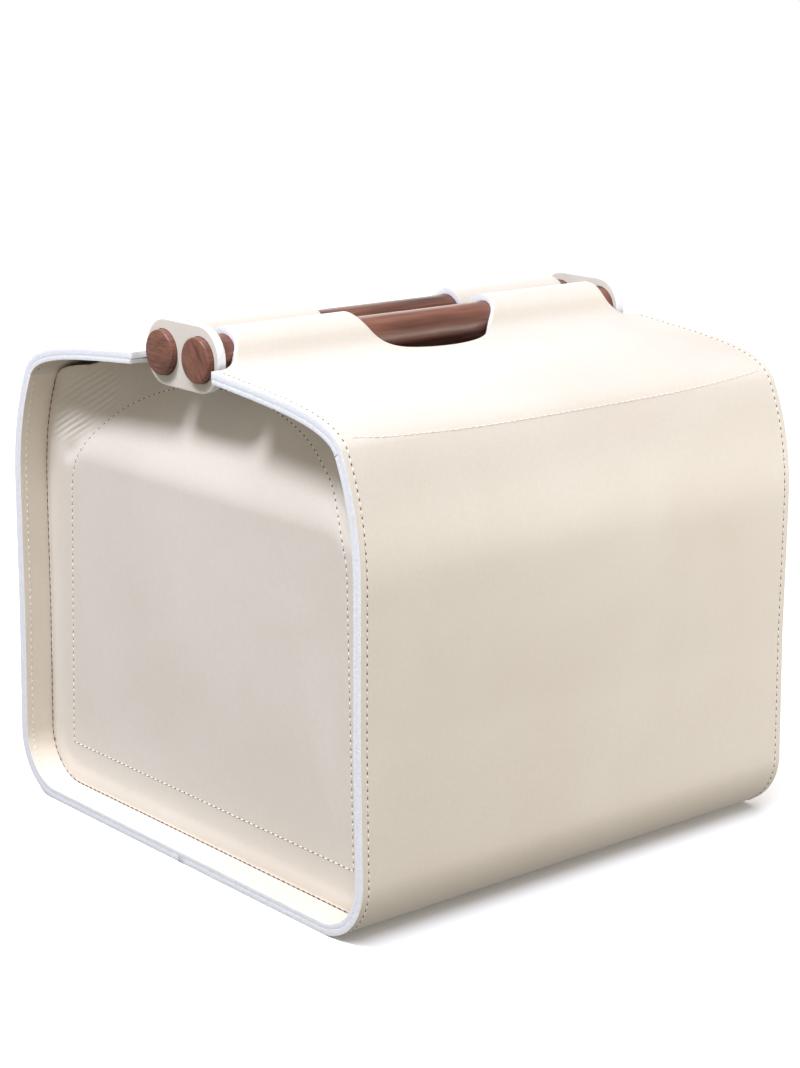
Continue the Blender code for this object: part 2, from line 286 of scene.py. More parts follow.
def around_rod(line):
    """The leather's way up from the flap, round the rod and back out under the flap."""
    centre = Vector((ROD_Y, ROD_Z))
    ring = arc(centre, SLEEVE_RADIUS, SLEEVE_JOIN, SLEEVE_LEAVE, RING_STEPS)
    first = (ring[1] - ring[0]).normalized()
    last = (ring[-1] - ring[-2]).normalized()
    leave = line[-1]
    handles = leave + RISE_HANDLE * TIP_WAY, ring[0] - RISE_HANDLE * first
    up = bezier(leave, *handles, ring[0], RISE_STEPS)
    under = [p for p in reversed(flap_inside) if p.x > TURN_BACK_JOINS_AT_Y]
    way = (under[1] - under[0]).normalized()
    handles = ring[-1] + RETURN_HANDLE * last, under[0] - RETURN_HANDLE * way
    out = bezier(ring[-1], *handles, under[0], RETURN_STEPS)
    return up[1:] + ring[1:] + out[1:] + under[1:], lengths(up)[-1]


wall = evenly(wall_line(), LINE_STEP)
flap = evenly(flap_line(), LINE_STEP)
flap_inside = [p + INNER_FACE * way for p, way in zip(flap, left_of(flap))]
shoulder_at = lengths(wall)[-1]
flap_to_sleeve = [p for p in flap if p.x > SLEEVE_STARTS_AT_Y]
before_sleeve = wall + flap_to_sleeve[1:]
sleeve_from = lengths(before_sleeve)[-1]
round_and_back, rise_length = around_rod(before_sleeve)
route = evenly(before_sleeve + round_and_back, LINE_STEP)
tongue = evenly(wall + flap[1:], LINE_STEP)
ROUTE_LENGTHS = lengths(route)
ROUTE_COLUMNS = [np.array(c) for c in (*zip(*route), *zip(*left_of(route)))]
TONGUE_LENGTHS = lengths(tongue)
TONGUE_COLUMNS = [np.array(c) for c in (*zip(*tongue), *zip(*left_of(tongue)))]
TONGUE_END = TONGUE_LENGTHS[-1]
FLAP_INSIDE_COLUMNS = [np.array(c) for c in zip(*reversed(flap_inside))]
SLEEVE_TOP = sleeve_from + rise_length + SLEEVE_RADIUS * (pi / 2 - SLEEVE_JOIN)
SKIVE_FROM = sleeve_from + rise_length + SLEEVE_RADIUS * (SKIVE_ANGLE - SLEEVE_JOIN)


def route_at_y(y, after):
    """Distance along the route, past a given distance, where it is y from the middle."""
    for at, point in zip(ROUTE_LENGTHS, route):
        if at > after and point.x > y:
            return float(at)
    raise ValueError("the route never gets to that y")


TURN_BACK_TONGUE = route_at_y(TONGUE_Y, SKIVE_FROM)
STRIP_TOP_AT = float(shoulder_at) - STRIP_TOP_GAP
print("shoulder at", round(shoulder_at, 1), "sleeve top at", round(SLEEVE_TOP, 1))
print("whole half of the band", round(ROUTE_LENGTHS[-1], 1), "mm")


# %% [markdown]
# ## From flat to bent
# A point of a flat pattern finds its place on the section line, then goes in by its depth.
# Beside each sleeve a short tongue of the same leather stays flat while the sleeve climbs
# the rod, so points far out along X follow the tongue's line, with a twist between the two.
# The turn-back gets thinner on its way under the flap, because it is skived there. A curve
# modifier bends flat pieces too, but it has one curve and can't skive, so a function is used.

# %% Carrying flat points to the bag
SKIVED = INNER_LEATHER / OUTER_LEATHER
TONGUE_ZONE = (138.0, 150.0)
PAST_TIP = 12.0
UNDER_TIP_FROM = TONGUE_Y - 8


def smooth(value, low, high):
    t = np.clip((value - low) / (high - low), 0, 1)
    return t * t * (3 - 2 * t)


def on_route(flat):
    """Flat (x, along, depth) rows, in mm, as points on the bag, in mm."""
    x, along, depth = flat.T
    side = np.where(along < 0, -1.0, 1.0)
    along = np.abs(along)
    y, z, inward_y, inward_z = [np.interp(along, ROUTE_LENGTHS, c) for c in ROUTE_COLUMNS]
    straight = [np.interp(along, TONGUE_LENGTHS, c) for c in TONGUE_COLUMNS]
    past = np.maximum(along - TONGUE_END, 0)
    straight[0] = straight[0] + past * TIP_WAY.x
    straight[1] = straight[1] + past * TIP_WAY.y
    turned_back = along > SKIVE_FROM
    under = (y, np.interp(y, *FLAP_INSIDE_COLUMNS), inward_y, inward_z)
    straight = [np.where(turned_back, a, b) for a, b in zip(under, straight)]
    beside = smooth(np.abs(x), *TONGUE_ZONE)
    under_tip = (y > UNDER_TIP_FROM) & (y < TURN_BACK_JOINS_AT_Y)
    beside = beside * np.where(turned_back, under_tip, past < PAST_TIP)
    y, z, inward_y, inward_z = [
        (1 - beside) * a + beside * b for a, b in zip((y, z, inward_y, inward_z), straight)
    ]
    thin = 1 - (1 - SKIVED) * smooth(along, SKIVE_FROM, TURN_BACK_TONGUE)
    depth = depth * thin
    return np.column_stack([x, side * (y + depth * inward_y), z + depth * inward_z])


print("tongue tip, mm:", on_route(np.array([[BAG_END, TONGUE_END, 0.0]])).round(1)[0])


# %% [markdown]
# ## Cutting leather
# Every skin is made the same way. Its outline is drawn flat and its corners are rounded.
# A narrow ring inside the outline keeps the shading of the cut edge apart from the face.
# The face is then given its thickness and its edges are rounded over. Straight scores
# across it let it bend, and the last step carries each point to its place. A Cloth
# simulation isn't used, because leather this thick keeps the shape that it is sewn to.
# Carrying a skin round a bend can turn it inside out, so its faces are made to agree and
# its volume is measured: a negative one means that every face has to be turned over.

# %% Cut, score and settle
RING_WIDTH = 1.3
FACE_FINISH, RIM_FINISH = 0, 1
CORNER_SEGMENTS, RIM_SEGMENTS = 8, 3
SHARP_EDGE = radians(60)
FLAT_ENOUGH = 0.97
SNAP, WELD = 1e-4, 1e-3


def cut_out(outline, corners, thickness, rim=RIM_ROUNDING, depth=0.0, ring=RING_WIDTH):
    """A flat skin with rounded corners, its thickness and rounded-over edges.

    outline holds flat (a, b) points, and corners says {rounding: [numbers of points]}.
    rim is the rounding of the edge round the outer face."""
    skin = bmesh.new()
    points = [skin.verts.new((a, b, depth)) for a, b in outline]
    groups = {rounding: [points[n] for n in chosen] for rounding, chosen in corners.items()}
    face = skin.faces.new(points)
    for rounding, chosen in groups.items():
        bmesh.ops.bevel(
            skin, geom=chosen, offset=rounding, offset_type="OFFSET", segments=CORNER_SEGMENTS,
            profile=0.5, affect="VERTICES", material=-1,
        )
    bmesh.ops.inset_region(
        skin, faces=skin.faces[:], thickness=ring, use_even_offset=True, use_boundary=True
    )
    made = bmesh.ops.extrude_face_region(skin, geom=skin.faces[:], use_keep_orig=True)
    moved = [v for v in made["geom"] if isinstance(v, bmesh.types.BMVert)]
    bmesh.ops.translate(skin, vec=(0, 0, thickness), verts=moved)
    bmesh.ops.recalc_face_normals(skin, faces=skin.faces)
    for height, rounding in ((depth, rim), (depth + thickness, min(rim, RIM_ROUNDING))):
        edges = [
            e for e in skin.edges
            if all(abs(v.co.z - height) < SNAP for v in e.verts)
            and e.calc_face_angle() > SHARP_EDGE
        ]
        bmesh.ops.bevel(
            skin, geom=edges, offset=rounding, offset_type="OFFSET", segments=RIM_SEGMENTS,
            profile=0.5, affect="EDGES", material=-1, clamp_overlap=True,
        )
    for face in skin.faces:
        face.material_index = FACE_FINISH if abs(face.normal.z) > FLAT_ENOUGH else RIM_FINISH
    return skin


def score(skin, axis, places):
    """Cut the skin straight across at each place, along X (0) or Y (1)."""
    normal = [0, 0, 0]
    normal[axis] = 1
    for place in places:
        point = [0, 0, 0]
        point[axis] = place
        everything = skin.verts[:] + skin.edges[:] + skin.faces[:]
        bmesh.ops.bisect_plane(skin, geom=everything, dist=SNAP, plane_co=point, plane_no=normal)


def bare_rims(skin, painted):
    """Leave the cut edges bare, except where painted(a, b) says the edge is painted."""
    for face in skin.faces:
        middle = face.calc_center_median()
        if face.material_index == RIM_FINISH and not painted(middle.x, middle.y):
            face.material_index = FACE_FINISH


def mirror_across(skin):
    """Keep the half with positive X, and make the other half its mirror image."""
    everything = skin.verts[:] + skin.edges[:] + skin.faces[:]
    bmesh.ops.bisect_plane(
        skin, geom=everything, dist=SNAP, plane_co=(0, 0, 0), plane_no=(1, 0, 0),
        clear_inner=True,
    )
    everything = skin.verts[:] + skin.edges[:] + skin.faces[:]
    bmesh.ops.mirror(skin, geom=everything, merge_dist=WELD, axis="X")
    bmesh.ops.remove_doubles(skin, verts=skin.verts, dist=WELD)


def settle(skin, name, carry, finishes, body=None):
    """Carry the flat points to their place, and make the object."""
    flat = np.array([v.co for v in skin.verts])
    for vert, place in zip(skin.verts, carry(flat)):
        vert.co = MM * Vector(place)
    bmesh.ops.recalc_face_normals(skin, faces=skin.faces)
    if skin.calc_volume(signed=True) < 0:
        bmesh.ops.reverse_faces(skin, faces=skin.faces)
    mesh = bpy.data.meshes.new(name)
    skin.to_mesh(mesh)
    skin.free()
    mesh.shade_smooth()
    for finish in finishes:
        mesh.materials.append(finish)
    made = bpy.data.objects.new(name, mesh)
    bpy.context.scene.collection.objects.link(made)
    if body:
        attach(made, body)
    print(name, len(mesh.polygons), "faces")
    return made


def score_lines(low, high, largest=7.0, turn=radians(4.5)):
    """Distances along the route where a skin needs a score, closer where it bends."""
    way = np.unwrap([atan2(v, u) for u, v in zip(*ROUTE_COLUMNS[2:])])
    places, last_at, last_way = [], 0.0, way[0]
    for at, now in zip(ROUTE_LENGTHS, way):
        if at - last_at > largest or abs(now - last_way) > turn:
            places.append(float(at))
            last_at, last_way = at, now
    signed = [-p for p in reversed(places)] + [0.0] + places
    return [p for p in signed if low < p < high]


print("scores along one half of the band:", len(score_lines(0, ROUTE_LENGTHS[-1])))


# %% [markdown]
# ## Finishes
# The leather is smooth calf with a barely visible grain: two close ivories that drift into
# each other, fine pores in the bump, and a broad, very slight waviness. Its cut edges are
# painted white. The rods are oiled walnut, with dark bands along the wood. Scanned images
# could give all this, but noise on the object's own coordinates has no seams or edges.

# %% Small helpers for node materials
def new_finish(name, roughness, specular=0.5):
    made = bpy.data.materials.new(name)
    made.use_nodes = True
    shader = made.node_tree.nodes["Principled BSDF"]
    shader.inputs["Roughness"].default_value = roughness
    shader.inputs["Specular IOR Level"].default_value = specular
    return made, made.node_tree, shader


def coordinates(tree, scale=(1, 1, 1), turn=(0, 0, 0)):
    source = tree.nodes.new("ShaderNodeTexCoord")
    mapping = tree.nodes.new("ShaderNodeMapping")
    mapping.vector_type = "TEXTURE"
    mapping.inputs["Scale"].default_value = [1 / s for s in scale]
    mapping.inputs["Rotation"].default_value = turn
    tree.links.new(source.outputs["Object"], mapping.inputs["Vector"])
    return mapping.outputs["Vector"]


def noise(tree, vector, scale, detail=3.0, distortion=0.0):
    node = tree.nodes.new("ShaderNodeTexNoise")
    node.inputs["Scale"].default_value = scale
    node.inputs["Detail"].default_value = detail
    node.inputs["Distortion"].default_value = distortion
    tree.links.new(vector, node.inputs["Vector"])
    return node.outputs["Fac"]


def ramp(tree, value, stops):
    node = tree.nodes.new("ShaderNodeValToRGB")
    while len(node.color_ramp.elements) < len(stops):
        node.color_ramp.elements.new(0.5)
    for element, (place, colour) in zip(node.color_ramp.elements, stops):
        element.position = place
        element.color = (*colour, 1)
    tree.links.new(value, node.inputs["Fac"])
    return node.outputs["Color"]


def mix(tree, kind, amount, a, b):
    node = tree.nodes.new("ShaderNodeMix")
    node.data_type = "RGBA"
    node.blend_type = kind
    sockets = [s for s in node.inputs if s.type == "RGBA"]
    for socket, value in ((node.inputs["Factor"], amount), (sockets[0], a), (sockets[1], b)):
        if isinstance(value, bpy.types.NodeSocket):
            tree.links.new(value, socket)
        elif isinstance(value, (int, float)):
            socket.default_value = value
        else:
            socket.default_value = (*value, 1)
    return [s for s in node.outputs if s.type == "RGBA"][0]


def bump(tree, shader, heights):
    """heights is [(value, strength, distance in metres)], stacked from the first up."""
    normal = None
    for value, strength, distance in heights:
        node = tree.nodes.new("ShaderNodeBump")
        node.inputs["Strength"].default_value = strength
        node.inputs["Distance"].default_value = distance
        tree.links.new(value, node.inputs["Height"])
        if normal:
            tree.links.new(normal, node.inputs["Normal"])
        normal = node.outputs["Normal"]
    tree.links.new(normal, shader.inputs["Normal"])


# %% [markdown]
# ## The leathers
# Band, strips, panels and links are cut from the same hide, with small shifts in tone and
# gloss. The strips' leather is painted lighter than the band's: painted light, standing in
# for light on the strips inside the bag. The panels' upper corners have a patch of fine
# folds: a wave texture on slanted coordinates, kept to an oval by a gradient. They are in
# the bump and not in the mesh, as folds less than a millimetre deep would need a far denser
# mesh.

# %% Leathers
CREASE_SLANT = radians(34)
CREASES_PER_METRE = 95.0
CREASE_PATCH = (0.139, 0.121, 0.237)
CREASE_REACH = (0.05, 0.040, 0.021)


def creases(tree):
    """Short fine folds that slant up from each upper corner of an end panel."""
    source = tree.nodes.new("ShaderNodeTexCoord")
    both_sides = tree.nodes.new("ShaderNodeVectorMath")
    both_sides.operation = "ABSOLUTE"
    tree.links.new(source.outputs["Object"], both_sides.inputs[0])
    here = both_sides.outputs["Vector"]
    slanted = tree.nodes.new("ShaderNodeMapping")
    slanted.inputs["Rotation"].default_value = (CREASE_SLANT, 0, 0)
    tree.links.new(here, slanted.inputs["Vector"])
    folds = tree.nodes.new("ShaderNodeTexWave")
    folds.bands_direction = "Z"
    folds.inputs["Scale"].default_value = CREASES_PER_METRE
    folds.inputs["Distortion"].default_value = 1.6
    folds.inputs["Detail"].default_value = 1.0
    folds.inputs["Detail Scale"].default_value = 0.12
    tree.links.new(slanted.outputs["Vector"], folds.inputs["Vector"])
    patch = tree.nodes.new("ShaderNodeMapping")
    patch.vector_type = "TEXTURE"
    patch.inputs["Location"].default_value = CREASE_PATCH
    patch.inputs["Rotation"].default_value = (-CREASE_SLANT, 0, 0)
    patch.inputs["Scale"].default_value = CREASE_REACH
    tree.links.new(here, patch.inputs["Vector"])
    fade = tree.nodes.new("ShaderNodeTexGradient")
    fade.gradient_type = "QUADRATIC_SPHERE"
    tree.links.new(patch.outputs["Vector"], fade.inputs["Vector"])
    limits = ramp(tree, fade.outputs["Fac"], [(0.0, (0, 0, 0)), (0.25, (1, 1, 1))])
    return mix(tree, "MULTIPLY", 1.0, folds.outputs["Color"], limits)


def leather(name, light, dark, roughness=0.45, grain=0.10, sheen=0.0, coat=0.2, creased=False):
    made, tree, shader = new_finish(name, roughness, 0.4)
    here = coordinates(tree)
    drift = ramp(tree, noise(tree, here, 9, 4, 0.6), [(0.35, dark), (0.65, light)])
    fine = ramp(tree, noise(tree, here, 520, 3), [(0.3, (0.93, 0.92, 0.90)), (0.7, (1, 1, 1))])
    tree.links.new(mix(tree, "MULTIPLY", 0.5, drift, fine), shader.inputs["Base Color"])
    pores = noise(tree, here, 1500, 4)
    wave = noise(tree, here, 26, 2)
    heights = [(wave, 0.25, 0.0012), (pores, grain, 0.0003)]
    if creased:
        heights.append((creases(tree), 0.7, 0.0007))
    bump(tree, shader, heights)
    shader.inputs["Sheen Weight"].default_value = sheen
    shader.inputs["Coat Weight"].default_value = coat
    shader.inputs["Coat Roughness"].default_value = 0.35
    return made


def edge_paint():
    made, tree, shader = new_finish("white edge paint", 0.5, 0.35)
    here = coordinates(tree)
    stops = [(0.3, (0.70, 0.71, 0.72)), (0.7, (0.78, 0.785, 0.79))]
    tone = ramp(tree, noise(tree, here, 420, 4), stops)
    tree.links.new(tone, shader.inputs["Base Color"])
    bump(tree, shader, [(noise(tree, here, 900, 4), 0.6, 0.0005)])
    return made


IVORY = leather("ivory leather", (0.670, 0.615, 0.535), (0.640, 0.580, 0.495))
# The strips are painted lighter than the band: painted light on the strips inside the bag.
STRIP_PAINTED_LIGHT = leather("strip leather with painted light", (0.75, 0.675, 0.575), (0.71, 0.63, 0.525), 0.5)
PANEL = leather("panel leather", (0.670, 0.620, 0.540), (0.635, 0.580, 0.495), 0.48, creased=True)
LINKS = leather("link leather", (0.650, 0.610, 0.530), (0.615, 0.570, 0.490), 0.45)
SUEDE = leather("lining suede", (0.560, 0.455, 0.330), (0.480, 0.380, 0.265), 0.9, 0.6, 0.3, 0.0)
EDGE = edge_paint()
print("leathers:", [finish.name for finish in (IVORY, STRIP_PAINTED_LIGHT, PANEL, LINKS, SUEDE, EDGE)])


# %% [markdown]
# ## Wood and thread
# Walnut is two noises, both stretched along the wood: broad dark bands, and fine streaks
# over them. The front rod's bands are turned against the rear rod's, as two rods are never
# cut alike. Thread, the painted shade of the holes and the board are each two close tones.

# %% Wood and thread
def walnut(name, band_turn):
    made, tree, shader = new_finish(name, 0.38, 0.45)
    along = coordinates(tree, (2.5, 9, 92), (band_turn, 0, 0))
    rings = noise(tree, along, 3.2, 3, 0.6)
    colour = ramp(tree, rings, [
        (0.30, (0.055, 0.022, 0.016)), (0.43, (0.135, 0.052, 0.034)),
        (0.55, (0.225, 0.092, 0.058)), (0.70, (0.130, 0.050, 0.034)),
    ])
    streaks = coordinates(tree, (14, 160, 520), (band_turn, 0, 0))
    fibre = ramp(tree, noise(tree, streaks, 1.6, 4), [(0.3, (0.62, 0.56, 0.52)), (0.6, (1, 1, 1))])
    tree.links.new(mix(tree, "MULTIPLY", 0.8, colour, fibre), shader.inputs["Base Color"])
    bump(tree, shader, [(noise(tree, streaks, 1.6, 4), 0.18, 0.0003)])
    return made


def plain_finish(name, light, dark, roughness, scale):
    made, tree, shader = new_finish(name, roughness, 0.3)
    tone = ramp(tree, noise(tree, coordinates(tree), scale, 3), [(0.3, dark), (0.7, light)])
    tree.links.new(tone, shader.inputs["Base Color"])
    return made


FRONT_WALNUT = walnut("front walnut", 0.9)
REAR_WALNUT = walnut("rear walnut", 0.0)
THREAD = plain_finish("ivory thread", (0.88, 0.84, 0.76), (0.74, 0.68, 0.59), 0.5, 2500)
# Painted shade in the needle holes: a dark grain, and a pale one for the shoulders and strips.
HOLE_SHADE = plain_finish("painted needle-hole shade", (0.16, 0.12, 0.085), (0.09, 0.065, 0.045), 0.9, 2500)
PALE_HOLE_SHADE = plain_finish("pale painted needle-hole shade", (0.655, 0.60, 0.52), (0.61, 0.55, 0.47), 0.9, 2500)
SEAM = plain_finish("brown seam thread", (0.16, 0.105, 0.07), (0.08, 0.052, 0.034), 0.7, 2500)
BOARD = plain_finish("base board", (0.50, 0.43, 0.33), (0.42, 0.35, 0.26), 0.8, 300)
print("materials so far:", len(bpy.data.materials))

# %% [markdown]
# ## The band
# Front and rear are the same skin, cut from the middle of the bottom to the end of the
# turn-back. A half oval bite at each end of the fold makes the grip opening, and a square
# bite at each side lets the rod's end come out beside the tongue. One quarter is drawn,
# and mirrored across the middle. Booleans could cut the bites after bending, but on a flat
# pattern they are only part of the outline.

# %% The band's flat pattern
GRIP_HALF_LENGTH = 51.0
GRIP_EDGE_Y = 48.0
OVERLAP = 20.0
BAND_END_AT = float(ROUTE_LENGTHS[-1])
BAND_SCORE_STEP = 10.5
TONGUE_CORNER, BAND_END_CORNER = 1.6, 0.6
NOTCH_ROUNDING, UNDER_ROUNDING = 17.0, 3.0
BARE_START, BARE_END = 3, 2


def flap_at_y(y):
    """Distance along the route to a point on the flap that is y from the middle."""
    return next(float(a) for a, p in zip(ROUTE_LENGTHS, route) if a > shoulder_at and p.x < y)


def quarter_oval(centre, half_length, reach, start, end, steps=26):
    angles = [start + (end - start) * n / steps for n in range(steps + 1)]
    return [(half_length * cos(a), centre + reach * sin(a)) for a in angles]


def band_outline():
    low = flap_at_y(GRIP_EDGE_Y)
    reach = SLEEVE_TOP - low
    high = route_at_y(GRIP_EDGE_Y, SKIVE_FROM)
    past = pi / 2 + OVERLAP / GRIP_HALF_LENGTH
    first = quarter_oval(SLEEVE_TOP, GRIP_HALF_LENGTH, reach, -past, 0)
    second = quarter_oval(high - reach, GRIP_HALF_LENGTH, reach, 0, past)
    sides = [
        (BAG_END, 0), (BAG_END, TONGUE_END), (SLEEVE_END, TONGUE_END),
        (SLEEVE_END, TURN_BACK_TONGUE), (BAG_END, TURN_BACK_TONGUE), (BAG_END, BAND_END_AT),
    ]
    start = first[0][0]
    grip = list(reversed(second)) + list(reversed(first))
    return [(start, 0)] + sides + [(start, BAND_END_AT)] + grip


def front_half(outline):
    """The same outline on the front half, where distances are negative."""
    return [(a, -b) for a, b in outline]


def make_band(side, sign):
    outline = band_outline()
    if sign < 0:
        outline = front_half(outline)
    corners = {
        TONGUE_CORNER: [2, 5], BAND_END_CORNER: [6], NOTCH_ROUNDING: [3], UNDER_ROUNDING: [4],
    }
    skin = cut_out(outline, corners, OUTER_LEATHER)
    mirror_across(skin)
    bare_rims(skin, lambda x, along: BARE_START < abs(along) < BAND_END_AT - BARE_END)
    ends = sorted((0.0, sign * BAND_END_AT))
    score(skin, 1, score_lines(*ends))
    score(skin, 0, [n * BAND_SCORE_STEP for n in range(-14, 15)])
    band = settle(skin, side + "_leather_band", on_route, [IVORY, EDGE])
    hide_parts("wrap_leather", side + "_flap", side + "_flap_turn_back")
    return band


# %% [markdown]
# ## The band at the shoulder
# The flap opens about its shoulder line. The band is one piece, and here its placing is
# only baked into its mesh: it is joined to no moving body. Two skins with a cut between
# them would open a gap at the shoulder.


def follow_flap(piece):
    """Bake the piece's placing into its mesh; it stays where it was made."""
    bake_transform(piece)


for side, sign in SIDES.items():
    follow_flap(make_band(side, sign))

# %% [markdown]
# ## Edge strips and lining
# Inside each end of the band runs a second strip of leather, sewn and painted with it so
# that the edge looks 6 mm thick. Between the strips the band is lined with suede. They are
# plain rectangles, so they are cut from the same flat pattern and bent with the band. One
# thicker band would look the same from outside but would lose the line between the plies.

# %% Edge strips and lining
STRIP_INNER_END = 110.0
SECOND_LAYER = OUTER_LEATHER + GLUE_LINE
LINING_TOP_AT = STRIP_TOP_AT - 5.0
STRIP_CORNER, LINING_CORNER = 0.5, 1.5
PAINTED_EDGE = 1
STRIP_SCORES = (130.0, 148.0)
LINING_GAP, LINING_SCORE_STEP = 0.4, 20.0


def make_strip(end, sign):
    low, high = sorted((sign * STRIP_INNER_END, sign * BAG_END))
    top = STRIP_TOP_AT
    outline = [(low, -top), (high, -top), (high, top), (low, top)]
    corners = {STRIP_CORNER: [0, 1, 2, 3]}
    skin = cut_out(outline, corners, INNER_LEATHER, RIM_ROUNDING, SECOND_LAYER)
    painted_x, painted_top = BAG_END - PAINTED_EDGE, top - PAINTED_EDGE
    bare_rims(skin, lambda x, along: abs(x) > painted_x and abs(along) < painted_top)
    score(skin, 1, score_lines(-top, top))
    score(skin, 0, [sign * place for place in STRIP_SCORES])
    strip = settle(skin, end + "_edge_strip", on_route, [STRIP_PAINTED_LIGHT, EDGE], "bag")
    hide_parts(end + "_gusset_flange")


def make_lining():
    half, top = STRIP_INNER_END - LINING_GAP, LINING_TOP_AT
    outline = [(-half, -top), (half, -top), (half, top), (-half, top)]
    corners = {LINING_CORNER: [0, 1, 2, 3]}
    skin = cut_out(outline, corners, INNER_LEATHER, RIM_ROUNDING, SECOND_LAYER)
    score(skin, 1, score_lines(-top, top))
    score(skin, 0, [n * LINING_SCORE_STEP for n in range(-5, 6)])
    lining = settle(skin, "suede_lining", on_route, [SUEDE, SUEDE], "bag")
    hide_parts("wrap_lining")


for end, sign in ENDS.items():
    make_strip(end, sign)
make_lining()

# %% [markdown]
# ## End panels
# Each end is closed by a panel sewn to the strip, with its face 18 mm in. Its edge is
# turned, so it stands up a little round a flat field. Near the top, away from its seams, the
# panel leans into the bag, and a soft fold runs up from each side where it has been pushed
# in and out. The panel is cut flat and a height is worked out for each point. Sculpting
# would give the same kind of shape, but it couldn't be changed by a few numbers.

# %% The panel's outline and its surface
PANEL_SEAM = 136.5
PANEL_THICKNESS = 3.0
SEAM_GAP = 0.35
PANEL_CENTRE_TOP = 264.8
FLAP_CLEARANCE = 1.6
CORNER_GAP, CORNER_GAP_AT, CORNER_GAP_WIDTH = 3.2, 119.0, 11.0
SIDE_KEEPS, FLAP_SPACING, TOP_TURNS_IN = 8, 3.0, 1.5
UNDER_FLAP_TO = 96
SIDE_HANDLE, CENTRE_HANDLE, TOP_STEPS = Vector((-22, 3)), Vector((60, 0)), 14
LEAN_FROM, LEAN_LENGTH, LEAN = 205.0, 36.0, 23.0
ROLL_HEIGHT, ROLL_AT, ROLL_WIDTH = 0.9, 5.0, 4.0
FOLD_CENTRE = (150.0, 186.0)
FOLD_DEPTH, FOLD_ANGLE, FOLD_WIDTH = 2.4, 47.0, 10.0
FOLD_STARTS, FOLD_ENDS = (20, 34), (62, 84)
BORDER_HOLD, HOLD_SHARPNESS = 26.0, 1.6


def panel_outline():
    """Flat (y, z) points: the bag's inner section, with a top edge just under the flaps."""
    half = [p for p in sewn if p.y < STRIP_TOP][::SIDE_KEEPS]
    above = evenly(flap_line(), FLAP_SPACING)
    under = [p + (INNER_FACE + FLAP_CLEARANCE) * way for p, way in zip(above, left_of(above))]
    for p in under:
        if half[-1].x - TOP_TURNS_IN > p.x > UNDER_FLAP_TO:
            drop = CORNER_GAP * np.exp(-(((p.x - CORNER_GAP_AT) / CORNER_GAP_WIDTH) ** 2))
            half.append(Vector((p.x, p.y - drop)))
    last = half[-1]
    centre = Vector((0, PANEL_CENTRE_TOP))
    half += bezier(last, last + SIDE_HANDLE, centre + CENTRE_HANDLE, centre, TOP_STEPS)[1:-1]
    full = half[1:] + [centre] + [Vector((-p.x, p.y)) for p in reversed(half[1:])]
    return [tuple(p) for p in full]


sewn = [p + (INNER_FACE + SEAM_GAP) * way for p, way in zip(wall, left_of(wall))]
PANEL_OUTLINE = panel_outline()
sewn_border = KDTree(2 * len(sewn))
for number, point in enumerate(sewn):
    sewn_border.insert((point.x, point.y, 0), 2 * number)
    sewn_border.insert((-point.x, point.y, 0), 2 * number + 1)
sewn_border.balance()
print("panel outline:", len(PANEL_OUTLINE), "points")


def panel_height(y, z):
    """How far the panel's outer face is from the bag's middle at each (y, z)."""
    from_border = np.array([sewn_border.find((a, b, 0))[2] for a, b in zip(y, z)])
    roll = ROLL_HEIGHT * np.exp(-(((from_border - ROLL_AT) / ROLL_WIDTH) ** 2))
    lean = LEAN * (1 - np.exp(-((np.maximum(z - LEAN_FROM, 0) / LEAN_LENGTH) ** 2)))
    lean = lean * (1 - np.exp(-((from_border / BORDER_HOLD) ** HOLD_SHARPNESS)))
    across, up = FOLD_CENTRE[0] - np.abs(y), z - FOLD_CENTRE[1]
    angle = np.degrees(np.arctan2(up, across))
    away = np.hypot(across, up)
    reach = smooth(away, *FOLD_STARTS) * (1 - smooth(away, *FOLD_ENDS))
    fold = FOLD_DEPTH * np.exp(-(((angle - FOLD_ANGLE) / FOLD_WIDTH) ** 2))
    return PANEL_SEAM + PANEL_THICKNESS + roll - lean - reach * fold


def on_panel(sign, behind=0.0):
    """Flat (y, z, depth) rows as points on an end panel, or on a layer behind it."""
    def carry(flat):
        y, z, depth = flat.T
        return np.column_stack([sign * (panel_height(y, z) - depth - behind), y, z])
    return carry


# %% [markdown]
# ## Panels and the arches behind them
# Behind each panel an arch of suede stiffens it, a little smaller than the arch of stitches
# in front. The panel's scores are closest at its upper corners, where it folds. The suede
# follows the same heights as the panel, further in by the panel's thickness and the glue.

# %% Make the panels and the arches behind them
PANEL_CELL = 1.25
PANEL_GRID = [(n, n * PANEL_CELL) for n in range(-128, 220)]
FINE_ACROSS, FINE_UP = (78, 136), (198, 260)
PANEL_RIM, PANEL_RING = 2.3, 3.0
BACKING_THICKNESS, BACKING_RIM = 2.0, 0.5
BACKING_SCORE_STEPS = (10.0, 5.0)
ARCH_FOOT, ARCH_SPRING, ARCH_RISE = 31.0, 185.0, 76.0
ARCH_HALF_FOOT, ARCH_HALF_SPRING = 132.0, 126.5
ARCH_STEPS = 48
BACKING_MARGIN = 3.0


def arch_line(margin=0.0):
    """The stitched arch: nearly upright sides with half an ellipse above, as (y, z)."""
    foot = (ARCH_HALF_FOOT + margin, ARCH_FOOT - margin)
    across, rise = ARCH_HALF_SPRING + margin, ARCH_RISE + margin
    angles = [pi * n / ARCH_STEPS for n in range(ARCH_STEPS + 1)]
    top = [(across * cos(a), ARCH_SPRING + rise * sin(a)) for a in angles]
    return [(-foot[0], foot[1]), foot] + top


def grid_lines(low, high, fine, size=lambda place: place):
    """Every second line of the panel's grid, and every line in its fine part."""
    return [
        p for n, p in PANEL_GRID
        if low < p < high and (n % 2 or fine[0] < size(p) < fine[1])
    ]


def make_panel(end, sign):
    skin = cut_out(PANEL_OUTLINE, {}, PANEL_THICKNESS, PANEL_RIM, ring=PANEL_RING)
    score(skin, 0, grid_lines(-156, 156, FINE_ACROSS, abs))
    score(skin, 1, grid_lines(0, 268, FINE_UP))
    panel = settle(skin, end + "_panel_leather", on_panel(sign), [PANEL, PANEL], "bag")
    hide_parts(end + "_end_panel")


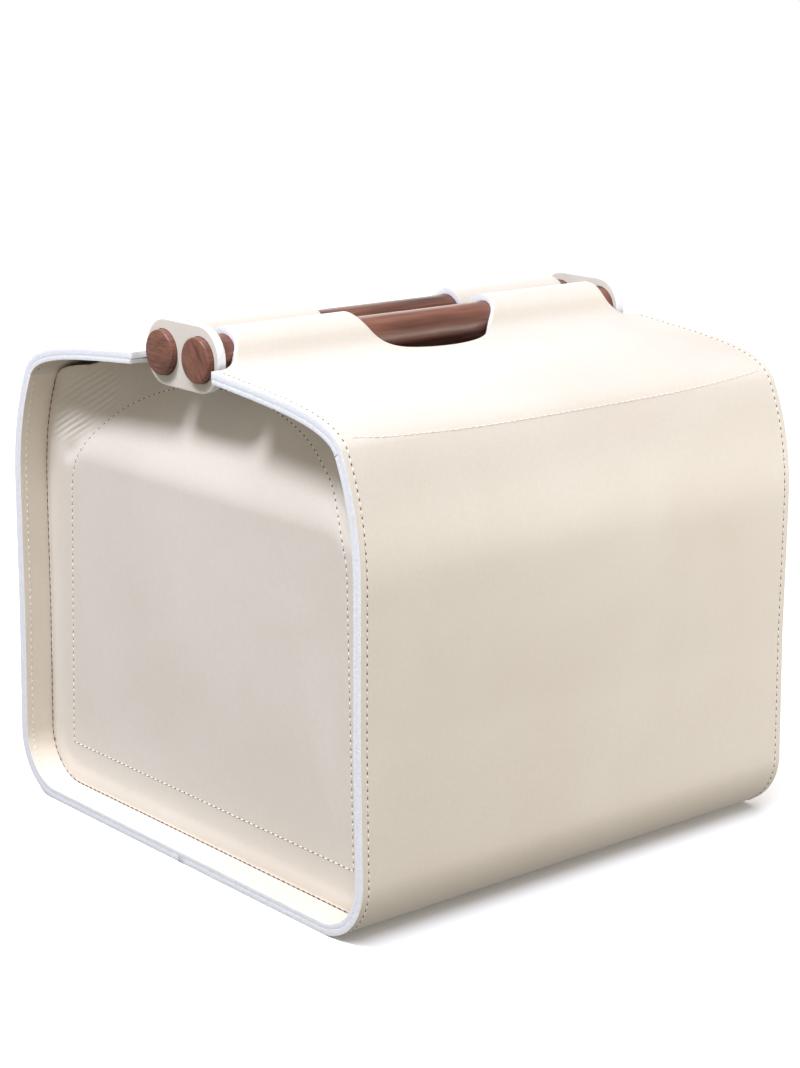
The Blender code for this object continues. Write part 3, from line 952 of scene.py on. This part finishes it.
def make_backing(end, sign):
    skin = cut_out(arch_line(-BACKING_MARGIN), {}, BACKING_THICKNESS, BACKING_RIM)
    across, up = BACKING_SCORE_STEPS
    score(skin, 0, [n * across for n in range(-13, 14)])
    score(skin, 1, [n * up for n in range(6, 53)])
    behind = on_panel(sign, PANEL_THICKNESS + GLUE_LINE)
    backing = settle(skin, end + "_panel_arch", behind, [SUEDE, SUEDE], "bag")
    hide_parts(end + "_panel_backing")


for end, sign in ENDS.items():
    make_panel(end, sign)
    make_backing(end, sign)

# %% [markdown]
# ## Base board
# A stiff board lies on the lining and keeps the bottom flat. A box would do, but cut_out
# rounds its corners in plan and breaks its edges in the same step as every other piece.

# %% Base board
board_low, board_high = box_mm("base_board")
BOARD_CORNER, BOARD_RIM, BOARD_SCORE_STEP = 12.0, 0.7, 40.0


def make_board():
    low, high = board_low, board_high
    outline = [(low.x, low.y), (high.x, low.y), (high.x, high.y), (low.x, high.y)]
    corners = {BOARD_CORNER: [0, 1, 2, 3]}
    skin = cut_out(outline, corners, high.z - low.z, BOARD_RIM, low.z)
    score(skin, 0, [n * BOARD_SCORE_STEP for n in range(-3, 4)])
    board = settle(skin, "stiff_board", lambda flat: flat, [BOARD, BOARD], "bag")
    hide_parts("base_board")


make_board()

# %% [markdown]
# ## Rods
# Each rod is a turned dowel with its end edges broken. It turns freely in its sleeve. A
# lathe profile spun round would give the same dowel; a cone with equal ends is shorter.

# %% Rods
ROD_SIDES, ROD_SCORE_STEP = 96, 10.0
ROD_CHAMFER, CHAMFER_STEPS = 1.0, 4
ROD_CREASE_ANGLE = radians(50)


def make_rod(side, sign, finish):
    dowel = bmesh.new()
    bmesh.ops.create_cone(
        dowel, cap_ends=True, segments=ROD_SIDES, radius1=ROD_RADIUS, radius2=ROD_RADIUS,
        depth=2 * ROD_END, matrix=Matrix.Rotation(pi / 2, 4, "Y"),
    )
    rims = [e for e in dowel.edges if e.calc_face_angle() > SHARP_EDGE]
    bmesh.ops.bevel(
        dowel, geom=rims, offset=ROD_CHAMFER, segments=CHAMFER_STEPS, profile=0.5,
        affect="EDGES", material=-1,
    )
    score(dowel, 0, [n * ROD_SCORE_STEP for n in range(-15, 16)])
    bmesh.ops.translate(dowel, vec=(0, sign * ROD_Y, ROD_Z), verts=dowel.verts)
    made = settle(dowel, side + "_walnut_rod", lambda flat: flat, [finish], side + "_rod")
    made.data.set_sharp_from_angle(angle=ROD_CREASE_ANGLE)
    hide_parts(side + "_rod")


make_rod("front", -1, FRONT_WALNUT)
make_rod("rear", 1, REAR_WALNUT)

# %% [markdown]
# ## Links
# A thick leather plate with two holes slips over the rods' ends and holds the bag shut. The
# plate is cut like any other skin. A flat outline can't have holes in it here, so they are
# drilled through the finished plate by Booleans.

# %% Links
link_low, link_high = box_mm("far_link")
LINK_CORNER = 0.47 * (link_high.z - link_low.z)
LINK_RIM = 1.2
LINK_BORE, DRILL_LENGTH, DRILL_SIDES = 12.6, 50.0, 96
DRILL_FROM_FACE = 3
LINK_CREASE_ANGLE = radians(40)


def bore_hole(plate, sign, rod_y):
    """Cut one round hole along X, where a rod passes."""
    middle = (sign * (link_low.x + DRILL_FROM_FACE) * MM, rod_y * MM, ROD_Z * MM)
    drill = bmesh.new()
    bmesh.ops.create_cone(
        drill, cap_ends=True, segments=DRILL_SIDES, radius1=LINK_BORE * MM,
        radius2=LINK_BORE * MM, depth=DRILL_LENGTH * MM,
        matrix=Matrix.Translation(middle) @ Matrix.Rotation(pi / 2, 4, "Y"),
    )
    mesh = bpy.data.meshes.new("drill")
    drill.to_mesh(mesh)
    drill.free()
    cutter = bpy.data.objects.new("drill", mesh)
    bpy.context.scene.collection.objects.link(cutter)
    bore = plate.modifiers.new("bore", "BOOLEAN")
    bore.operation = "DIFFERENCE"
    bore.object = cutter
    graph = bpy.context.evaluated_depsgraph_get()
    bored = bpy.data.meshes.new_from_object(plate.evaluated_get(graph))
    plate.modifiers.clear()
    plate.data = bored
    bpy.data.objects.remove(cutter, do_unlink=True)


def make_link(end, sign):
    low, high = link_low, link_high
    outline = [(low.y, low.z), (high.y, low.z), (high.y, high.z), (low.y, high.z)]
    skin = cut_out(outline, {LINK_CORNER: [0, 1, 2, 3]}, high.x - low.x, LINK_RIM, low.x)

    def stand_up(flat):
        return np.column_stack([sign * flat[:, 2], flat[:, 0], flat[:, 1]])

    plate = settle(skin, end + "_link_plate", stand_up, [LINKS, EDGE])
    for rod_y in (-ROD_Y, ROD_Y):
        bore_hole(plate, sign, rod_y)
    plate.data.shade_smooth()
    plate.data.set_sharp_from_angle(angle=LINK_CREASE_ANGLE)
    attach(plate, end + "_link")
    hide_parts(end + "_link")


for end, sign in ENDS.items():
    make_link(end, sign)

# %% [markdown]
# ## Stitches
# A stitch is a short length of thread, pulled into the leather at both ends, with a hole
# between it and the next, where the needle went through. The shade in each hole is painted:
# a flat grain, dark along the band and the arches and pale on the shoulders and strips, and
# on the seams both grains are brown throughout. Each row is sewn on the flat pattern and
# carried with it, so the stitches lie on the leather wherever it bends. Thread and the
# painted hole shade are two small rounded grains, copied by turns.

# %% Sewing
STITCH_PITCH = 4.35
THREAD_HALF = (1.35, 0.42, 0.40)
# The hole grain is a flat spot of painted shade, laid just proud of the leather.
HOLE_SHADE_HALF = (0.80, 0.40, 0.14)
PROUD = 0.05


def stitch_shape(half, finish):
    """One rounded grain of thread or of shadow, as a mesh to be repeated."""
    grain = bmesh.new()
    bmesh.ops.create_uvsphere(
        grain, u_segments=8, v_segments=5, radius=1, matrix=Matrix.Diagonal((*half, 1))
    )
    for face in grain.faces:
        face.material_index = finish
    mesh = bpy.data.meshes.new("grain")
    grain.to_mesh(mesh)
    grain.free()
    return mesh


GRAINS = [stitch_shape(THREAD_HALF, 0), stitch_shape(HOLE_SHADE_HALF, 1)]
print("faces in one stitch:", [len(grain.polygons) for grain in GRAINS])


def sew(work, line, depth, outward, size=1.0):
    """Stitches along a flat line, on a face at a depth, proud towards outward (1 or -1)."""
    points = evenly([Vector(p) for p in line], LINE_STEP)
    along = lengths(points)
    count = 2 * max(1, round(along[-1] / STITCH_PITCH))
    first_new = len(work.verts)
    spots = []
    for n in range(count):
        here = int(np.searchsorted(along, along[-1] * (n + 0.5) / count))
        before, after = points[max(here - 1, 0)], points[min(here, len(points) - 1)]
        way = after - before
        place = Matrix.Translation((after.x, after.y, depth + PROUD * outward))
        turn = Matrix.Rotation(atan2(way.y, way.x), 4, "Z")
        work.from_mesh(GRAINS[n % 2])
        spots.append(place @ turn @ Matrix.Scale(size, 4))
    grain_size = len(GRAINS[0].vertices)
    for number, vert in enumerate(work.verts):
        if number >= first_new:
            vert.co = spots[(number - first_new) // grain_size] @ vert.co


# %% [markdown]
# ## The rows
# One row runs along each edge of the band and its turn-back, and shows again inside on the
# strip. One runs across each shoulder, a little bowed, where the turn-back is sewn down. A
# brown row closes the seam round each panel, and an arch of stitches runs round its middle.

# %% Rows along the edges, over the shoulders and round the arches
EDGE_ROW = BAG_END - 3.9
SEAM_DEPTH = 0.2
SEAM_INSET, SEAM_SIZE, ARCH_SIZE = 0.4, 1.2, 0.9
ROW_START, ROW_END, TONGUE_MARGIN, STRIP_MARGIN = 3, 4, 6, 3
SHOULDER_ROW = [
    (-148, 7.6), (-130, 5.0), (-100, 3.0), (-60, 1.6), (0, 1.5),
    (60, 1.8), (100, 3.0), (130, 5.0), (148, 7.0),
]


def spline(points, steps=8):
    """A smooth line through the points."""
    made = []
    for n in range(len(points) - 1):
        p = [Vector(points[min(max(n + k, 0), len(points) - 1)]) for k in (-1, 0, 1, 2)]
        b = p[1] + (p[2] - p[0]) / 6
        c = p[2] - (p[3] - p[1]) / 6
        made += bezier(p[1], b, c, p[2], steps)[: steps if n < len(points) - 2 else steps + 1]
    return made


def sew_band(side, sign):
    """Every row that shows on the band's outer face and on its turn-back."""
    work = bmesh.new()
    for end_sign in ENDS.values():
        x = end_sign * EDGE_ROW
        up = ROW_START, TONGUE_END - TONGUE_MARGIN
        back = TURN_BACK_TONGUE + TONGUE_MARGIN, BAND_END_AT - ROW_END
        for low, high in (up, back):
            sew(work, [(x, sign * low), (x, sign * high)], 0, -1)
    made = settle(work, side + "_band_stitches", on_route, [THREAD, HOLE_SHADE])
    follow_flap(made)
    work = bmesh.new()
    row = [(x, sign * (shoulder_at + up)) for x, up in spline(SHOULDER_ROW)]
    sew(work, row, 0, -1)
    made = settle(work, side + "_shoulder_stitches", on_route, [THREAD, PALE_HOLE_SHADE])
    follow_flap(made)


def sew_strip(end, sign):
    work = bmesh.new()
    x = sign * EDGE_ROW
    top = STRIP_TOP_AT - STRIP_MARGIN
    sew(work, [(x, -top), (x, top)], INNER_FACE, 1)
    made = settle(work, end + "_strip_stitches", on_route, [THREAD, PALE_HOLE_SHADE], "bag")


def sew_seam(end, sign):
    """The brown thread that closes the seam between the panel and the strip."""
    work = bmesh.new()
    inset = INNER_FACE + SEAM_INSET
    half = [p + inset * way for p, way in zip(wall, left_of(wall)) if p.y < STRIP_TOP]
    line = [Vector((-p.x, p.y)) for p in reversed(half[1:])] + half
    sew(work, line, SEAM_DEPTH, -1, SEAM_SIZE)
    made = settle(work, end + "_seam_stitches", on_panel(sign), [SEAM, SEAM], "bag")


def sew_panel(end, sign):
    work = bmesh.new()
    arch = arch_line()
    sew(work, [arch[0], arch[1]], 0, -1, ARCH_SIZE)
    sew(work, arch[1:] + [arch[0]], 0, -1, ARCH_SIZE)
    made = settle(work, end + "_arch_stitches", on_panel(sign), [THREAD, HOLE_SHADE], "bag")


for side, sign in SIDES.items():
    sew_band(side, sign)
for end, sign in ENDS.items():
    sew_strip(end, sign)
    sew_seam(end, sign)
    sew_panel(end, sign)
